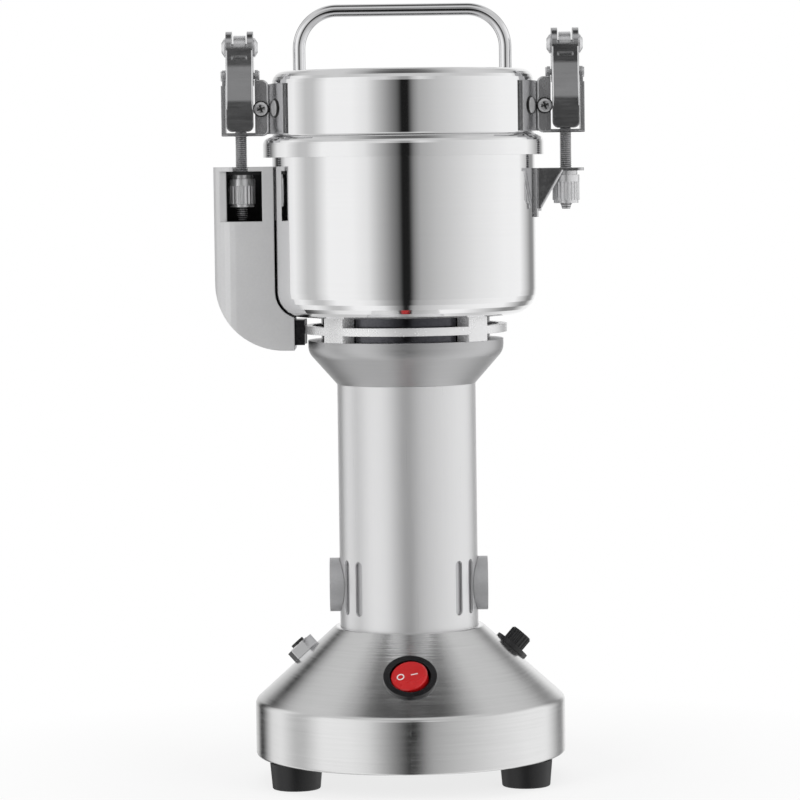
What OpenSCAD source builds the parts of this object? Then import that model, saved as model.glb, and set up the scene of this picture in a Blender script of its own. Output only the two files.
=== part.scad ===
// Upright electric grain mill: a lidded steel bowl on a motor column with a wide base.
// Millimetres, +Z up, origin on the motor axis at floor level, the switch towards -Y.

/* [Base] */
// Height of the feet below the skirt
foot_h = 13; // [9:0.5:18]
// Radius of a foot at its top
foot_r = 13; // [9:0.1:14]
// Radius of a foot at its bottom
foot_tip_r = 11.85; // [9:0.05:12.4]
// Distance of the feet from the motor axis
foot_ring_r = 64.2; // [50:0.1:64.3]
// Outer radius of the base skirt
base_r = 77.4; // [76:0.1:86]
// Height of the skirt
skirt_h = 27.3; // [22:0.1:34]
// Height of the cone above the skirt
cone_h = 36.7; // [32:0.1:42]
// Thickness of the base sheet
base_wall = 1.2; // [0.8:0.1:1.8]
// Radius of the corner between skirt and cone
shoulder_round = 4; // [2:0.5:7]
// Thickness of the base plate
plate_t = 1.5; // [1:0.1:2.5]

/* [Switch, breaker and fuse] */
// Height of the switch centre above the skirt
switch_up = 17.7; // [15:0.1:20]
// Outer radius of the switch rim
switch_rim_r = 13.1; // [12.8:0.1:15]
// Height of the switch rim above the cone
switch_rim_h = 1.2; // [0.8:0.1:2]
// Radius of the switch body behind the panel
switch_body_r = 11.5; // [11.3:0.1:12]
// Radius of the rocker
rocker_r = 9.1; // [8:0.1:9.3]
// Angle between the two positions of the rocker
rocker_throw = 20; // [14:1:24]
// Height of the reset breaker above the skirt
breaker_up = 22.3; // [18:0.1:24]
// Direction of the reset breaker, seen from above
breaker_azimuth = 171; // [165:1:180]
// Width across flats of the breaker nut
breaker_nut_af = 13.4; // [12:0.1:15]
// Height of the breaker nut
breaker_nut_h = 5.3; // [4:0.1:7]
// Travel of the reset button
reset_travel = 1.5; // [1:0.1:2]
// Height of the fuse holder above the skirt
fuse_up = 23; // [19:0.1:24]
// Direction of the fuse holder, seen from above
fuse_azimuth = 13; // [0:1:20]
// Radius of the fuse holder flange
fuse_flange_r = 9.25; // [8:0.05:10.5]
// Radius of the fuse cap
fuse_cap_r = 5.7; // [5.4:0.1:7]
// Height of the fuse cap above its flange
fuse_cap_h = 7.3; // [6:0.1:10]

/* [Motor column] */
// Outer radius of the column
column_r = 34.5; // [33.5:0.1:35.5]
// Wall of the column
column_wall = 1.2; // [0.8:0.1:1.5]
// Height of the column above the base neck
column_h = 121; // [115:0.5:135]
// Width of a vent slot
slot_w = 4.6; // [3:0.1:5]
// Length of a vent slot
slot_l = 27; // [20:0.5:29]
// Height of the brush caps above the base neck
brush_up = 20.5; // [19.5:0.5:21.5]
// Radius of a brush cap
brush_cap_r = 13.4; // [11:0.1:14]
// Distance of a brush cap face from the motor axis
brush_cap_x = 39.4; // [37.5:0.1:41]
// Outer radius of the motor cone band
collar_r = 48.6; // [48.4:0.1:50]
// Height of the motor cone above the column
collar_h = 22; // [20.5:0.5:24]
// Height of the straight band of the motor cone
collar_band_h = 6; // [5.5:0.1:8]
// Radius of the motor shaft
shaft_r = 5; // [4.6:0.1:5.4]
// Radius of the armature core
armature_r = 19.5; // [17:0.1:19.6]
// Height of the armature and stator cores
core_h = 48; // [40:0.5:50]

/* [Spacer ring and bowl] */
// Height of the gap that the spacer ring holds open under the bowl
spacer_h = 12; // [10.5:0.1:14]
// Outer radius of the spacer ring
spacer_r = 50.5; // [49.6:0.1:52]
// Height of the spacer ring's hoop
hoop_h = 4; // [3:0.1:5]
// Width of a spacer post
post_w = 13; // [10:0.1:14]
// Radius of the dark bearing drum
drum_r = 42; // [38:0.1:42.6]
// Outer radius of the bowl
bowl_r = 65.25; // [64:0.05:66]
// Height of the bowl up to its rim
bowl_h = 86.2; // [80:0.1:94]
// Sheet thickness of bowl and lid
sheet_t = 1; // [0.8:0.1:1.3]
// Corner radius of the bowl's bottom
bowl_round = 12.5; // [9:0.1:14]
// Length of a blade from the shaft axis to its tip
blade_l = 52; // [40:0.5:58]
// Thickness of a blade
blade_t = 2.5; // [2:0.1:3]

/* [Lid and handle] */
// Outer radius of the lid's band
lid_r = 64.8; // [64.2:0.05:65.2]
// Height of the lid above its shoulder
lid_h = 32.3; // [31:0.1:36]
// Radius of the lid's top edge
lid_round = 6; // [4:0.5:7]
// How far the lid's skirt stands out from its band
lid_step = 4.9; // [4.5:0.1:6]
// Height of the lid's skirt below the shoulder
lid_skirt_h = 10.2; // [8:0.1:12]
// Outer width of the handle
handle_w = 108.4; // [96:0.2:114]
// Height of the handle above the lid
handle_h = 32.8; // [28:0.2:40]
// Thickness of the handle rod
handle_d = 6.2; // [5.6:0.1:7]
// Outer corner radius of the handle
handle_round = 22; // [18:0.5:25]

/* [Latches] */
// Distance of the latch rods from the motor axis
latch_x = 80.5; // [79.5:0.1:82]
// Height of the lever pivots above the lid's shoulder
pivot_up = 30.3; // [29.5:0.1:32]
// Distance from the lever pivot to the knuckle pin
toggle_l = 14; // [13:0.1:15]
// How far the closed knuckle pin stands in front of the pivot
over_centre = 0.8; // [0.5:0.1:1.2]
// Width of a lever
lever_w = 13.5; // [13:0.1:14]
// Length of a lever below its pivot
lever_l = 27.5; // [24:0.5:29]
// Radius of a threaded rod
rod_r = 3; // [2.6:0.1:3.1]
// Length of the right rod below its knuckle pin
rod_l_right = 81.7; // [79:0.1:84]
// Length of the left rod below its knuckle pin
rod_l_left = 85.5; // [82:0.1:88]
// Pitch of the rod's thread
thread_pitch = 1; // [0.8:0.1:1.25]
// Outer radius of a knurled nut
nut_r = 6.75; // [6.2:0.05:7]
// Height of a knurled nut
nut_h = 16; // [13:0.5:17]

/* [Side housing] */
// Distance of the housing's outer face from the motor axis
housing_x = 94.4; // [93.4:0.1:97]
// Height of the housing's lowest face below the bowl
housing_drop = 16.4; // [15:0.1:18]
// Height of the housing above the bowl's bottom
housing_h = 74.5; // [73.5:0.1:76]
// Distance of the housing's front face from the motor axis
housing_front = 15; // [14:0.1:17]
// Distance of the housing's back face from the motor axis
housing_back = 24; // [23:0.1:26]
// Wall of the housing
housing_wall = 2.2; // [1.8:0.1:2.5]
// Radius of the housing's lower outer corner
housing_round = 34.5; // [30:0.5:38]

/* [Hidden] */
$fn = 72;

// Clearances and the overrun of every cut
cut = 1;
fit = 0.05;
seat = 0.1;
gap = 0.3;
// Points along a rounded corner, with more on a wide one
corner_steps = 6;
corner_step = 2;

// Levels along the motor axis
shoulder_z = foot_h + skirt_h;
neck_z = shoulder_z + cone_h;
column_top_z = neck_z + column_h;
collar_top_z = column_top_z + collar_h;
bowl_z = collar_top_z + spacer_h;
rim_z = bowl_z + bowl_h;
gasket_h = 2;
lid_shoulder_z = rim_z + gasket_h + sheet_t;
lid_top_z = lid_shoulder_z + lid_h;
pivot_z = lid_shoulder_z + pivot_up;
knuckle_z = pivot_z + toggle_l;

// The base cone: its neck stands a little outside the column
neck_lip = 2.4;
neck_r = column_r + neck_lip;
cone_a = atan2(base_r - neck_r, cone_h);
curl_w = 1.8;
curl_round = 1.4;
neck_round = 2;

// Catches hang this far below the lid's shoulder, with their rivets along their height
catch_drop = 17;
catch_z = lid_shoulder_z - catch_drop;
catch_h = 24.2;
catch_rivet_shares = [0.3, 0.78];
catch_rivet_z = [for (share = catch_rivet_shares) catch_z - share * catch_h];

// Outline helpers
function unit(v) = v / norm(v);
function fillet(a, b, c, r) = r == 0 ? [b] :
    let(u = unit(a - b), v = unit(c - b), half = acos(u * v) / 2,
        o = b + unit(u + v) * r / sin(half),
        p = b + u * r / tan(half) - o, q = b + v * r / tan(half) - o,
        a0 = atan2(p.y, p.x), d = atan2(q.y, q.x) - a0,
        turn = d > 180 ? d - 360 : (d < -180 ? d + 360 : d),
        n = max(corner_steps, ceil(r / corner_step)))
    [for (i = [0:n]) o + r * [cos(a0 + turn * i / n), sin(a0 + turn * i / n)]];
// A closed outline whose corners have the given radii
function rounded(pts, radii) = let(n = len(pts))
    [for (i = [0:n - 1]) each fillet(pts[(i + n - 1) % n], pts[i], pts[(i + 1) % n], radii[i])];
// An open path whose inner corners have the given radii
function bent(pts, radii) = let(n = len(pts))
    [for (i = [0:n - 1]) each (i == 0 || i == n - 1 ? [pts[i]]
                               : fillet(pts[i - 1], pts[i], pts[i + 1], radii[i]))];
function left_of(a, b) = let(u = unit(b - a)) [-u.y, u.x];
// The same path, moved to its left by t
function beside(path, t) = let(n = len(path))
    [for (i = [0:n - 1])
        let(m = left_of(path[max(i - 1, 0)], path[max(i, 1)]),
            k = left_of(path[min(i, n - 2)], path[min(i + 1, n - 1)]))
        path[i] + (m + k) * t / (1 + m * k)];
function reversed(path) = [for (i = [len(path) - 1:-1:0]) path[i]];
function strip(path, t) = concat(path, reversed(beside(path, t)));

module spun(pts) rotate_extrude() polygon(pts);
module tube(r, bore, h) difference() {
    cylinder(r = r, h = h);
    translate([0, 0, -cut]) cylinder(r = bore, h = h + 2 * cut);
}
module along_x() rotate([0, 90, 0]) children();
// Draws on the right and, mirrored, on the left
module both_sides() for (m = [0, 1]) mirror([m, 0, 0]) children();
module ring_part(r, t, h, spread) rotate([0, 0, -spread])
    rotate_extrude(angle = 2 * spread) translate([r, 0]) square([t, h]);

// Places on the cone, with +Z as its outward normal
function cone_r(z) = neck_r + (neck_z - z) * (base_r - neck_r) / cone_h;
module on_cone(azimuth, up) rotate([0, 0, azimuth])
    translate([cone_r(shoulder_z + up), 0, shoulder_z + up]) rotate([0, 90 - cone_a, 0]) children();
// The full cone as seen from a place on it, grown by the seat
module cone_from(up) rotate([0, cone_a - 90, 0])
    translate([-cone_r(shoulder_z + up), 0, -up])
    cylinder(r1 = base_r + seat, r2 = neck_r + seat, h = cone_h);

/* Base */
module base_shell() color("silver") difference() {
    spun(strip(bent([[base_r - curl_w, foot_h], [base_r, foot_h], [base_r, shoulder_z],
        [neck_r, neck_z], [column_r + seat, neck_z]],
        [0, curl_round, shoulder_round, neck_round, 0]), base_wall));
    on_cone(-90, switch_up) cylinder(r = switch_body_r + seat, h = switch_body_r, center = true);
    on_cone(breaker_azimuth, breaker_up) cylinder(r = bush_r + seat, h = 2 * bush_r, center = true);
    on_cone(fuse_azimuth, fuse_up) cylinder(r = fuse_body_r + seat, h = 2 * fuse_body_r, center = true);
    translate([0, base_r, gland_z]) rotate([90, 0, 0])
        cylinder(r = gland_r + seat, h = 2 * gland_r, center = true);
}

plate_r = base_r - curl_w - 2 * seat;
foot_spread = 62;
foot_angles = [-90 - foot_spread, -90 + foot_spread, 90];
foot_bolt_r = 2.5;
boss_r = 5;
boss_h = 4;
plate_slot_w = 5;
plate_slot_in = 24;
plate_slot_out = 44;
plate_slots = 12;
module at_feet() for (a = foot_angles) rotate([0, 0, a]) translate([foot_ring_r, 0, 0]) children();
module base_plate() color("gray") difference() {
    union() {
        translate([0, 0, foot_h]) cylinder(r = plate_r, h = plate_t);
        at_feet() translate([0, 0, foot_h]) cylinder(r = boss_r, h = boss_h);
    }
    at_feet() translate([0, 0, foot_h - cut])
        cylinder(r = foot_bolt_r + fit, h = boss_h + 2 * cut);
    for (i = [1:plate_slots]) rotate([0, 0, i * 360 / plate_slots])
        translate([plate_slot_in, -plate_slot_w / 2, foot_h - cut])
        cube([plate_slot_out - plate_slot_in, plate_slot_w, plate_t + 2 * cut]);
}

foot_edge = 0.8;
foot_sink_r = 6;
foot_sink_h = 6;
module feet() color("black") at_feet() difference() {
    spun(rounded([[0, 0], [foot_tip_r, 0], [foot_r, foot_h], [0, foot_h]], [0, foot_edge, 0, 0]));
    translate([0, 0, -cut]) cylinder(r = foot_bolt_r + fit, h = foot_h + 2 * cut);
    translate([0, 0, -cut]) cylinder(r = foot_sink_r, h = foot_sink_h + cut);
}
foot_head_r = 4.5;
foot_head_h = 3;
module foot_screws() color("silver") at_feet() union() {
    translate([0, 0, foot_sink_h - foot_head_h]) cylinder(r = foot_head_r, h = foot_head_h);
    translate([0, 0, foot_sink_h]) cylinder(r = foot_bolt_r, h = foot_h + boss_h - foot_sink_h);
}

gland_z = foot_h + skirt_h / 2;
gland_r = 6;
gland_bore = 3.6;
gland_flange_r = 8.5;
gland_flange_h = 2.5;
gland_in = 9;
module cord_gland() color("black") difference() {
    translate([0, base_r, gland_z]) rotate([-90, 0, 0]) difference() {
        union() {
            translate([0, 0, -gland_flange_h]) cylinder(r = gland_flange_r, h = 2 * gland_flange_h);
            translate([0, 0, -gland_in]) cylinder(r = gland_r, h = gland_in);
        }
        translate([0, 0, -gland_in - cut]) cylinder(r = gland_bore, h = 2 * gland_in);
    }
    difference() {
        cylinder(r = base_r + seat, h = neck_z);
        translate([0, base_r, gland_z]) rotate([-90, 0, 0])
            cylinder(r = gland_r, h = 2 * gland_in, center = true);
    }
}

/* Switch */
switch_depth = 16;
switch_floor = 9;
rocker_gap = 1;
rocker_pivot = 2;
rocker_pin_r = 1.5;
rocker_low = 3.5;
rocker_crown = 3.8;
rocker_edge = 0.5;
terminal_w = 6.3;
terminal_t = 0.8;
terminal_h = 8;
terminal_off = 5;
module switch_housing() color("black") on_cone(-90, switch_up) {
    difference() {
        translate([0, 0, -switch_rim_h]) cylinder(r = switch_rim_r, h = 2 * switch_rim_h);
        difference() {
            cone_from(switch_up);
            cylinder(r = switch_body_r, h = switch_depth, center = true);
        }
        translate([0, 0, -switch_floor]) cylinder(r = rocker_r + rocker_gap, h = switch_depth);
        translate([0, 0, -rocker_pivot]) along_x()
            cylinder(r = rocker_pin_r + fit, h = 2 * switch_body_r, center = true);
    }
    difference() {
        translate([0, 0, -switch_depth]) cylinder(r = switch_body_r, h = switch_depth - switch_rim_h);
        translate([0, 0, -switch_floor]) cylinder(r = rocker_r + rocker_gap, h = switch_depth);
        translate([0, 0, -rocker_pivot]) along_x()
            cylinder(r = rocker_pin_r + fit, h = 2 * switch_body_r, center = true);
    }
    for (s = [-1, 1]) translate([-terminal_w / 2, s * terminal_off, -switch_depth - terminal_h])
        cube([terminal_w, terminal_t, terminal_h + cut]);
}
// The rocker rests with its O side pressed, so its other side stands up
module switch_rocker() color("red") on_cone(-90, switch_up) translate([0, 0, -rocker_pivot])
    rotate([rocker_throw / 2, 0, 0]) union() {
        spun([[0, -rocker_low], [rocker_r, -rocker_low], [rocker_r, rocker_crown - rocker_edge],
            [rocker_r - rocker_edge, rocker_crown], [0, rocker_crown]]);
        along_x() cylinder(r = rocker_pin_r, h = 2 * (rocker_r + rocker_gap) + rocker_pin_r,
            center = true);
    }

/* Reset breaker */
bush_r = 5;
bush_lip = 0.3;
bush_h = breaker_nut_h + bush_lip;
button_r = 3.6;
button_h = 6.5;
breaker_r = 8;
breaker_h = 22;
breaker_gasket = 0.5;
breaker_top = base_wall + breaker_gasket;
module breaker_body() color("black") on_cone(breaker_azimuth, breaker_up) difference() {
    union() {
        translate([0, 0, -breaker_top - breaker_h]) cylinder(r = breaker_r, h = breaker_h);
        translate([0, 0, -breaker_top - cut]) cylinder(r = bush_r, h = breaker_top + cut + bush_h);
    }
    translate([0, 0, bush_h - button_h - fit])
        cylinder(r = button_r + fit, h = button_h + cut);
}
module breaker_nut() color("silver") on_cone(breaker_azimuth, breaker_up) difference() {
    translate([0, 0, -base_wall])
        cylinder(r = breaker_nut_af / sqrt(3), h = base_wall + breaker_nut_h, $fn = 6);
    cone_from(breaker_up);
    translate([0, 0, -bush_r]) cylinder(r = bush_r + fit, h = 4 * bush_r);
}
module reset_button() color("white") on_cone(breaker_azimuth, breaker_up)
    translate([0, 0, bush_h - button_h + reset_travel]) cylinder(r = button_r, h = button_h);

/* Fuse holder */
fuse_body_r = 6.5;
fuse_flange_h = 2;
fuse_plug_r = 4.4;
fuse_plug_h = 5;
fuse_r = 2.5;
fuse_l = 20;
fuse_floor = 1.5;
fuse_rib_r = 0.6;
fuse_ribs = 16;
module fuse_holder() color("black") on_cone(fuse_azimuth, fuse_up) difference() {
    union() {
        difference() {
            translate([0, 0, -fuse_flange_h]) cylinder(r = fuse_flange_r, h = 2 * fuse_flange_h);
            difference() {
                cone_from(fuse_up);
                cylinder(r = fuse_body_r, h = 4 * fuse_flange_h, center = true);
            }
        }
        translate([0, 0, -fuse_plug_h - fuse_l - fuse_floor])
            cylinder(r = fuse_body_r, h = fuse_l + fuse_floor + fuse_plug_h - fuse_flange_h + fit);
    }
    translate([0, 0, -fuse_plug_h])
        cylinder(r = fuse_plug_r + fit, h = fuse_plug_h + 2 * fuse_flange_h);
    translate([0, 0, -fuse_plug_h - fuse_l]) cylinder(r = fuse_r + seat, h = fuse_l + cut);
}
module fuse_cap() color("black") on_cone(fuse_azimuth, fuse_up) union() {
    translate([0, 0, fuse_flange_h + fit]) cylinder(r = fuse_cap_r - fuse_rib_r, h = fuse_cap_h);
    for (i = [1:fuse_ribs]) rotate([0, 0, i * 360 / fuse_ribs])
        translate([fuse_cap_r - fuse_rib_r, 0, fuse_flange_h + fit])
        cylinder(r = fuse_rib_r, h = fuse_cap_h - fuse_rib_r, $fn = 24);
    translate([0, 0, fit - fuse_plug_h]) cylinder(r = fuse_plug_r, h = fuse_plug_h + fuse_flange_h);
}
module fuse_link() color("white") on_cone(fuse_azimuth, fuse_up)
    translate([0, 0, -fuse_plug_h - fuse_l]) cylinder(r = fuse_r, h = fuse_l);

/* Column and motor */
column_low = 13;
column_z = neck_z - column_low;
brush_z = neck_z + brush_up;
slot_angles = [46, 63];
slot_flat = 0.1;
bore_r = column_r - column_wall;
brush_hole_r = 7.6;
module column() color("gainsboro") difference() {
    translate([0, 0, column_z]) tube(column_r, bore_r, column_top_z - column_z);
    for (a = slot_angles, s = [-1, 1], face = [-90, 90]) rotate([0, 0, face + s * a])
        translate([0, 0, brush_z]) rotate([0, 90, 0]) linear_extrude(column_r + cut)
            polygon(rounded([[-slot_l / 2, -slot_w / 2], [slot_l / 2, -slot_w / 2],
                [slot_l / 2, slot_w / 2], [-slot_l / 2, slot_w / 2]],
                [for (i = [1:4]) slot_w / 2 - slot_flat]));
    translate([0, 0, brush_z]) along_x()
        cylinder(r = brush_hole_r, h = 2 * column_r + 2 * cut, center = true);
}
neck_ring_up = 3.2;
neck_ring_h = 6.6;
module neck_ring() color("gray") let(
    low = column_z + neck_ring_up, high = low + neck_ring_h,
    side = base_wall / cos(cone_a) + seat)
    spun([[column_r + seat, low], [cone_r(low) - side, low], [cone_r(high) - side, high],
        [column_r + seat, high]]);

bracket_t = 4;
bearing_h = 8;
bearing_r = 11;
bearing_wall = 3;
bracket_down = 21.5;
bracket_z = brush_z - bracket_down;
saddle_w = 8;
saddle_x = 24;
holder_r = 7.4;
cup_wall = 2;
bearing_floor = 1;
shaft_gap = 1;
vent_r = 5;
vent_x = 21;
module lower_bracket() color("silver") difference() {
    union() {
        translate([0, 0, bracket_z]) cylinder(r = bore_r - seat, h = bracket_t);
        translate([0, 0, bracket_z])
            tube(bore_r - seat, bore_r - seat - cup_wall, core_z - seat - bracket_z);
        translate([0, 0, bracket_z]) cylinder(r = bearing_r + bearing_wall, h = bearing_h + bearing_floor);
        both_sides() translate([saddle_x - saddle_w / 2, -saddle_w / 2, bracket_z])
            cube([saddle_w, saddle_w, brush_z - bracket_z]);
    }
    translate([0, 0, bracket_z + bearing_floor])
        cylinder(r = bearing_r + fit, h = bearing_h + cut);
    translate([0, 0, bracket_z - cut]) cylinder(r = shaft_r + shaft_gap, h = bearing_h);
    for (a = [45:90:315]) rotate([0, 0, a]) translate([vent_x, 0, bracket_z - cut])
        cylinder(r = vent_r, h = bracket_t + 2 * cut);
    translate([0, 0, brush_z]) along_x()
        cylinder(r = holder_r + seat, h = 2 * saddle_x + saddle_w + cut, center = true);
    translate([0, 0, brush_z]) both_sides() along_x() translate([0, 0, saddle_x + saddle_w / 2])
        cylinder(r = brush_hole_r, h = column_r);
}
top_bearing_r = 13;
drum_floor = 2;
module bearings() color("silver") {
    translate([0, 0, bracket_z + bearing_floor]) tube(bearing_r, shaft_r + fit, bearing_h);
    translate([0, 0, collar_top_z + drum_floor]) tube(top_bearing_r, shaft_r + fit, bearing_h);
}

commutator_r = 11;
commutator_h = 15;
holder_bore = 5.6;
holder_in = 13.4;
brush_w = 8;
brush_b = 7;
brush_l = 11;
cap_plug_in = 3;
cap_plug_x = bore_r - cap_plug_in;
module brush_holders() color("goldenrod") translate([0, 0, brush_z]) both_sides() along_x()
    translate([0, 0, holder_in]) tube(holder_r, holder_bore, cap_plug_x - seat - holder_in);
module brushes() color("dimgray") both_sides()
    translate([commutator_r + gap, -brush_b / 2, brush_z - brush_w / 2])
    cube([brush_l, brush_b, brush_w]);
spring_r = 3.5;
spring_wire = 0.8;
module brush_springs() color("silver") translate([0, 0, brush_z]) both_sides() along_x()
    translate([0, 0, commutator_r + gap + brush_l])
    tube(spring_r, spring_r - spring_wire, cap_plug_x - commutator_r - gap - brush_l);
slot_t = 2;
module brush_caps() color("darkgray") both_sides() translate([0, 0, brush_z]) difference() {
    along_x() cylinder(r = brush_cap_r, h = brush_cap_x);
    difference() {
        translate([0, 0, -2 * brush_cap_r]) cylinder(r = column_r + seat, h = 4 * brush_cap_r);
        translate([cap_plug_x, 0, 0]) along_x() cylinder(r = brush_hole_r - seat, h = column_r);
    }
    translate([brush_cap_x - slot_t / 2, -brush_hole_r, -slot_t / 2])
        cube([slot_t, 2 * brush_hole_r, slot_t]);
}

core_up = 30.5;
core_z = brush_z + core_up;
winding_h = 9.5;
winding_r = 16.5;
air_gap = 0.6;
coil_in = 22;
coil_t = 8;
coil_w = 8;
coil_edge = 0.5;
coil_spread = 52;
module coil_space(extra) for (s = [0, 180]) rotate([0, 0, s]) {
    for (z = [core_z - coil_w, core_z + core_h]) translate([0, 0, z])
        ring_part(coil_in, coil_t, coil_w, coil_spread);
    for (e = [-1, 1]) rotate([0, 0, e * coil_spread])
        translate([coil_in + coil_edge - extra, -coil_w / 2 - extra, core_z - coil_w])
        cube([coil_t - 2 * (coil_edge - extra), coil_w + 2 * extra, core_h + 2 * coil_w]);
}
module stator_core() color("dimgray") difference() {
    translate([0, 0, core_z]) tube(bore_r - seat, armature_r + air_gap, core_h);
    coil_space(seat);
}
module field_coils() color("chocolate") coil_space(0);

shaft_tail = 2;
shaft_z = bracket_z - shaft_tail;
thread_r = 4;
blade_seat_z = bowl_z + 9;
blade_gap = 14;
blade_nut_h = 6.5;
module motor_shaft() color("silver") union() {
    translate([0, 0, shaft_z]) cylinder(r = shaft_r, h = blade_seat_z - shaft_z);
    translate([0, 0, blade_seat_z])
        cylinder(r = thread_r, h = 2 * blade_t + blade_gap + blade_nut_h);
}
rotor_slots = 12;
rotor_slot_w = 2.4;
rotor_slot_d = 6;
module armature_core() color("gray") translate([0, 0, core_z]) difference() {
    tube(armature_r, shaft_r + fit, core_h);
    for (i = [1:rotor_slots]) rotate([0, 0, i * 360 / rotor_slots])
        translate([armature_r - rotor_slot_d, -rotor_slot_w / 2, -cut])
        cube([rotor_slot_d + cut, rotor_slot_w, core_h + 2 * cut]);
}
module armature_windings() color("chocolate") {
    for (z = [core_z - winding_h, core_z + core_h]) translate([0, 0, z])
        tube(winding_r, shaft_r + fit, winding_h);
}
segments = 16;
segment_gap = 0.6;
segment_d = 1.5;
module commutator() color("peru") translate([0, 0, brush_z - commutator_h / 2]) difference() {
    tube(commutator_r, shaft_r + fit, commutator_h);
    for (i = [1:segments]) rotate([0, 0, i * 360 / segments])
        translate([commutator_r - segment_d, -segment_gap / 2, -cut])
        cube([segment_d + cut, segment_gap, commutator_h + 2 * cut]);
}
fan_r = 27;
fan_hub_r = 9;
fan_t = 1.5;
fan_h = 9;
fan_blades = 8;
fan_gap = 1;
fan_z = core_z + core_h + winding_h + fan_gap;
module cooling_fan() color("black") translate([0, 0, fan_z]) union() {
    tube(fan_r, shaft_r + fit, fan_t);
    tube(fan_hub_r, shaft_r + fit, fan_h);
    for (i = [1:fan_blades]) rotate([0, 0, i * 360 / fan_blades])
        translate([fan_hub_r - cut, -fan_t / 2, 0]) cube([fan_r - fan_hub_r, fan_t, fan_h]);
}

/* Motor cone, drum and spacer ring */
spigot_h = 8;
collar_wall = 3;
collar_round = 8;
collar_top_t = 3.5;
collar_eye_r = 24;
post_in = drum_r + seat;
bowl_bolt_r = 1.9;
bolt_wall = 1.6;
bowl_bolt_ring = post_in + bolt_wall + bowl_bolt_r;
bolt_floor = 2;
bolt_down = collar_band_h - bolt_floor;
module at_posts() for (a = [45:90:315]) rotate([0, 0, a]) children();
module at_bowl_bolts() at_posts() translate([bowl_bolt_ring, 0, 0]) children();
module motor_cone() color("darkgray") difference() {
    spun(rounded([[bore_r - seat, column_top_z - spigot_h], [bore_r - seat, column_top_z],
        [column_r, column_top_z], [collar_r, collar_top_z - collar_band_h],
        [collar_r, collar_top_z], [collar_eye_r, collar_top_z],
        [collar_eye_r, collar_top_z - collar_top_t],
        [drum_r - collar_wall, collar_top_z - collar_top_t],
        [drum_r - collar_wall, collar_top_z - collar_band_h],
        [bore_r - collar_wall, column_top_z], [bore_r - collar_wall, column_top_z - spigot_h]],
        [0, 0, 0, collar_round, 0, 0, 0, 0, 0, 0, 0]));
    at_bowl_bolts() translate([0, 0, collar_top_z - bolt_down])
        cylinder(r = bowl_bolt_r + fit, h = bolt_down + cut);
}
drum_gap = 0.4;
drum_recess_in = 17;
drum_wall = 3;
drum_top = 2.2;
module bearing_housing() color("dimgray") translate([0, 0, collar_top_z]) difference() {
    cylinder(r = drum_r, h = spacer_h - drum_gap);
    translate([0, 0, drum_floor]) cylinder(r = top_bearing_r + fit, h = spacer_h);
    translate([0, 0, -cut]) cylinder(r = shaft_r + shaft_gap, h = spacer_h);
    translate([0, 0, -cut])
        tube(drum_r - drum_wall, drum_recess_in, spacer_h - drum_gap - drum_top + cut);
}
hoop_w = 4;
hoop_up = 3.5;
module spacer_ring() color("whitesmoke") translate([0, 0, collar_top_z]) difference() {
    union() {
        translate([0, 0, hoop_up]) tube(spacer_r, spacer_r - hoop_w, hoop_h);
        intersection() {
            at_posts() translate([post_in, -post_w / 2, 0])
                cube([spacer_r - post_in, post_w, spacer_h]);
            tube(spacer_r, post_in, spacer_h);
        }
    }
    at_bowl_bolts() translate([0, 0, -cut])
        cylinder(r = bowl_bolt_r + fit, h = spacer_h + 2 * cut);
}
bolt_head_r = 3.4;
bolt_head_h = 2.2;
module bowl_screws() color("silver") at_bowl_bolts() union() {
    translate([0, 0, bowl_z + sheet_t]) cylinder(r = bolt_head_r, h = bolt_head_h);
    translate([0, 0, collar_top_z - bolt_down + seat])
        cylinder(r = bowl_bolt_r, h = bolt_down - seat + spacer_h + sheet_t);
}

/* Bowl and blades */
seal_hole_r = 9;
rim_w = 1.95;
rivet_r = 1.5;
module radial_hole(azimuth, z, r, far) rotate([0, 0, azimuth]) translate([far / 2, 0, z])
    along_x() cylinder(r = r, h = far);
module bowl() color("silver") difference() {
    spun(strip(bent([[seal_hole_r, bowl_z], [bowl_r, bowl_z], [bowl_r, rim_z - sheet_t],
        [bowl_r + rim_w, rim_z - sheet_t]], [0, bowl_round, sheet_t, 0]), sheet_t));
    at_bowl_bolts() translate([0, 0, bowl_z - cut])
        cylinder(r = bowl_bolt_r + fit, h = sheet_t + 2 * cut);
    for (az = [0, 180], z = catch_rivet_z) radial_hole(az, z, rivet_r + fit, bowl_r);
}
seal_r = 14;
seal_h = 6;
seal_neck_r = 11;
module bowl_seal() color("black") difference() {
    spun(rounded([[0, bowl_z - drum_gap / 2], [seal_hole_r - seat, bowl_z - drum_gap / 2],
        [seal_hole_r - seat, bowl_z + sheet_t], [seal_r, bowl_z + sheet_t],
        [seal_neck_r, bowl_z + sheet_t + seal_h], [0, bowl_z + sheet_t + seal_h]],
        [0, 0, 0, 0, 2 * sheet_t, 0]));
    translate([0, 0, collar_top_z]) cylinder(r = shaft_r + 2 * fit, h = bowl_h);
}
blade_w = 15;
blade_root_w = 20;
blade_root_h = 13.4;
blade_tip_shares = [0.94, 0.8];
blade_sweep = 8;
blade_bevel = 5;
blade_bevel_a = 24;
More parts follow.
